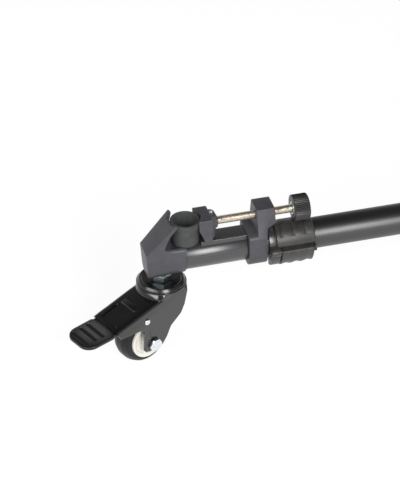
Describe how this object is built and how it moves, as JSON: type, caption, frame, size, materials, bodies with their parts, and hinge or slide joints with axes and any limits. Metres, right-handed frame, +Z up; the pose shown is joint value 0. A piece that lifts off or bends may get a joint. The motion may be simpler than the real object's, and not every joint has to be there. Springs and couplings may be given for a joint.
{
  "type": "tripod dolly",
  "caption": "Folding tripod dolly: telescoping arms on a central hub, each with a braked swivel caster, a cup for a tripod foot and a screw clamp that holds it.",
  "frame": {"origin": "centre of the hub's flat underside", "axes": "+Z up; arm a points along -X, arms b and c are at 120 and 240 degrees about +Z"},
  "size_m": [0.817, 0.9066, 0.1415],
  "materials": {
    "cast": "satin",
    "moulded": "satin",
    "anodised": "satin",
    "gloss_steel": "gloss",
    "zinc": "satin",
    "nickel": "satin",
    "rubber": "matte",
    "nylon": "satin",
    "tread": "satin"
  },
  "bodies": {
    "hub": {"hub_body": "cast"},
    "hub_plate": {"hub_cap": "moulded"},
    "hub_lock": {"lock_knob": "moulded"},
    "arm_a": {"outer_tube_a": "anodised", "leg_lock_a": "moulded", "arm_knuckle_a": "cast"},
    "lever_a": {"lock_lever_a": "moulded"},
    "carriage_a": {"inner_tube_a": "anodised", "jaw_rail_a": "gloss_steel", "foot_seat_a": "cast", "foot_cup_a": "rubber", "clamp_bracket_a": "cast", "swivel_ring_a": "gloss_steel"},
    "jaw_a": {"clamp_jaw_a": "cast"},
    "screw_a": {"clamp_screw_a": "nickel", "clamp_knob_a": "moulded"},
    "caster_a": {"caster_fork_a": "gloss_steel", "axle_bolt_a": "zinc", "pedal_rivet_a": "zinc"},
    "wheel_a": {"tyre_a": "tread", "wheel_core_a": "nylon"},
    "pedal_a": {"brake_pedal_a": "moulded"},
    "arm_b": {"outer_tube_b": "anodised", "leg_lock_b": "moulded", "arm_knuckle_b": "cast"},
    "lever_b": {"lock_lever_b": "moulded"},
    "carriage_b": {"inner_tube_b": "anodised", "jaw_rail_b": "gloss_steel", "foot_seat_b": "cast", "foot_cup_b": "rubber", "clamp_bracket_b": "cast", "swivel_ring_b": "gloss_steel"},
    "jaw_b": {"clamp_jaw_b": "cast"},
    "screw_b": {"clamp_screw_b": "nickel", "clamp_knob_b": "moulded"},
    "caster_b": {"caster_fork_b": "gloss_steel", "axle_bolt_b": "zinc", "pedal_rivet_b": "zinc"},
    "wheel_b": {"tyre_b": "tread", "wheel_core_b": "nylon"},
    "pedal_b": {"brake_pedal_b": "moulded"},
    "arm_c": {"outer_tube_c": "anodised", "leg_lock_c": "moulded", "arm_knuckle_c": "cast"},
    "lever_c": {"lock_lever_c": "moulded"},
    "carriage_c": {"inner_tube_c": "anodised", "jaw_rail_c": "gloss_steel", "foot_seat_c": "cast", "foot_cup_c": "rubber", "clamp_bracket_c": "cast", "swivel_ring_c": "gloss_steel"},
    "jaw_c": {"clamp_jaw_c": "cast"},
    "screw_c": {"clamp_screw_c": "nickel", "clamp_knob_c": "moulded"},
    "caster_c": {"caster_fork_c": "gloss_steel", "axle_bolt_c": "zinc", "pedal_rivet_c": "zinc"},
    "wheel_c": {"tyre_c": "tread", "wheel_core_c": "nylon"},
    "pedal_c": {"brake_pedal_c": "moulded"}
  },
  "joints": [
    {"name": "plate_lift", "type": "slide", "parent": "hub", "child": "hub_plate", "axis": [0, 0, 1], "range_m": [0, 0.0025]},
    {"name": "lock_turn", "type": "hinge", "parent": "hub_plate", "child": "hub_lock", "pos_m": [0, 0, 0.03], "axis": [0, 0, 1], "range_deg": [0, 720]},
    {"name": "fold_a", "type": "hinge", "parent": "hub", "child": "arm_a", "pos_m": [-0.042, 0, 0.02], "axis": [0, 1, 0], "range_deg": [0, 80]},
    {"name": "telescope_a", "type": "slide", "parent": "arm_a", "child": "carriage_a", "axis": [-1, 0, 0], "range_m": [0, 0.15]},
    {"name": "lever_open_a", "type": "hinge", "parent": "arm_a", "child": "lever_a", "pos_m": [-0.3255, -0.021, 0.0198], "axis": [-1, 0, 0], "range_deg": [0, 100]},
    {"name": "jaw_slide_a", "type": "slide", "parent": "carriage_a", "child": "jaw_a", "axis": [1, 0, 0], "range_m": [0, 0.02625]},
    {"name": "screw_turn_a", "type": "hinge", "parent": "jaw_a", "child": "screw_a", "pos_m": [-0.389, 0, 0.0504], "axis": [1, 0, 0], "range_deg": [0, 7560]},
    {"name": "caster_swivel_a", "type": "hinge", "parent": "carriage_a", "child": "caster_a", "pos_m": [-0.43, 0, -0.0024], "axis": [0, 0, 1], "continuous": true},
    {"name": "wheel_spin_a", "type": "hinge", "parent": "caster_a", "child": "wheel_a", "pos_m": [-0.45034, -0.00838, -0.0546], "axis": [0.3811, -0.9245, 0], "continuous": true},
    {"name": "pedal_press_a", "type": "hinge", "parent": "caster_a", "child": "pedal_a", "pos_m": [-0.45774, -0.01143, -0.0269], "axis": [0.3811, -0.9245, 0], "range_deg": [0, 12]},
    {"name": "fold_b", "type": "hinge", "parent": "hub", "child": "arm_b", "pos_m": [0.021, -0.03637, 0.02], "axis": [-0.866, -0.5, 0], "range_deg": [0, 80]},
    {"name": "telescope_b", "type": "slide", "parent": "arm_b", "child": "carriage_b", "axis": [0.5, -0.866, 0], "range_m": [0, 0.15]},
    {"name": "lever_open_b", "type": "hinge", "parent": "arm_b", "child": "lever_b", "pos_m": [0.18094, -0.27139, 0.0198], "axis": [0.5, -0.866, 0], "range_deg": [0, 100]},
    {"name": "jaw_slide_b", "type": "slide", "parent": "carriage_b", "child": "jaw_b", "axis": [-0.5, 0.866, 0], "range_m": [0, 0.02625]},
    {"name": "screw_turn_b", "type": "hinge", "parent": "jaw_b", "child": "screw_b", "pos_m": [0.1945, -0.33688, 0.0504], "axis": [-0.5, 0.866, 0], "range_deg": [0, 7560]},
    {"name": "caster_swivel_b", "type": "hinge", "parent": "carriage_b", "child": "caster_b", "pos_m": [0.215, -0.37239, -0.0024], "axis": [0, 0, 1], "continuous": true},
    {"name": "wheel_spin_b", "type": "hinge", "parent": "caster_b", "child": "wheel_b", "pos_m": [0.23243, -0.38581, -0.0546], "axis": [0.6101, 0.7923, 0], "continuous": true},
    {"name": "pedal_press_b", "type": "hinge", "parent": "caster_b", "child": "pedal_b", "pos_m": [0.23877, -0.3907, -0.0269], "axis": [0.6101, 0.7923, 0], "range_deg": [0, 12]},
    {"name": "fold_c", "type": "hinge", "parent": "hub", "child": "arm_c", "pos_m": [0.021, 0.03637, 0.02], "axis": [0.866, -0.5, 0], "range_deg": [0, 80]},
    {"name": "telescope_c", "type": "slide", "parent": "arm_c", "child": "carriage_c", "axis": [0.5, 0.866, 0], "range_m": [0, 0.15]},
    {"name": "lever_open_c", "type": "hinge", "parent": "arm_c", "child": "lever_c", "pos_m": [0.14456, 0.29239, 0.0198], "axis": [0.5, 0.866, 0], "range_deg": [0, 100]},
    {"name": "jaw_slide_c", "type": "slide", "parent": "carriage_c", "child": "jaw_c", "axis": [-0.5, -0.866, 0], "range_m": [0, 0.02625]},
    {"name": "screw_turn_c", "type": "hinge", "parent": "jaw_c", "child": "screw_c", "pos_m": [0.1945, 0.33688, 0.0504], "axis": [-0.5, -0.866, 0], "range_deg": [0, 7560]},
    {"name": "caster_swivel_c", "type": "hinge", "parent": "carriage_c", "child": "caster_c", "pos_m": [0.215, 0.37239, -0.0024], "axis": [0, 0, 1], "continuous": true},
    {"name": "wheel_spin_c", "type": "hinge", "parent": "caster_c", "child": "wheel_c", "pos_m": [0.21791, 0.3942, -0.0546], "axis": [-0.9912, 0.1323, 0], "continuous": true},
    {"name": "pedal_press_c", "type": "hinge", "parent": "caster_c", "child": "pedal_c", "pos_m": [0.21897, 0.40213, -0.0269], "axis": [-0.9912, 0.1323, 0], "range_deg": [0, 12]}
  ],
  "couplings": [
    {"joint": "lock_turn", "follows": "plate_lift", "rad_per_m": 5026.5},
    {"joint": "screw_turn_a", "follows": "jaw_slide_a", "rad_per_m": 5026.5},
    {"joint": "screw_turn_b", "follows": "jaw_slide_b", "rad_per_m": 5026.5},
    {"joint": "screw_turn_c", "follows": "jaw_slide_c", "rad_per_m": 5026.5}
  ]
}
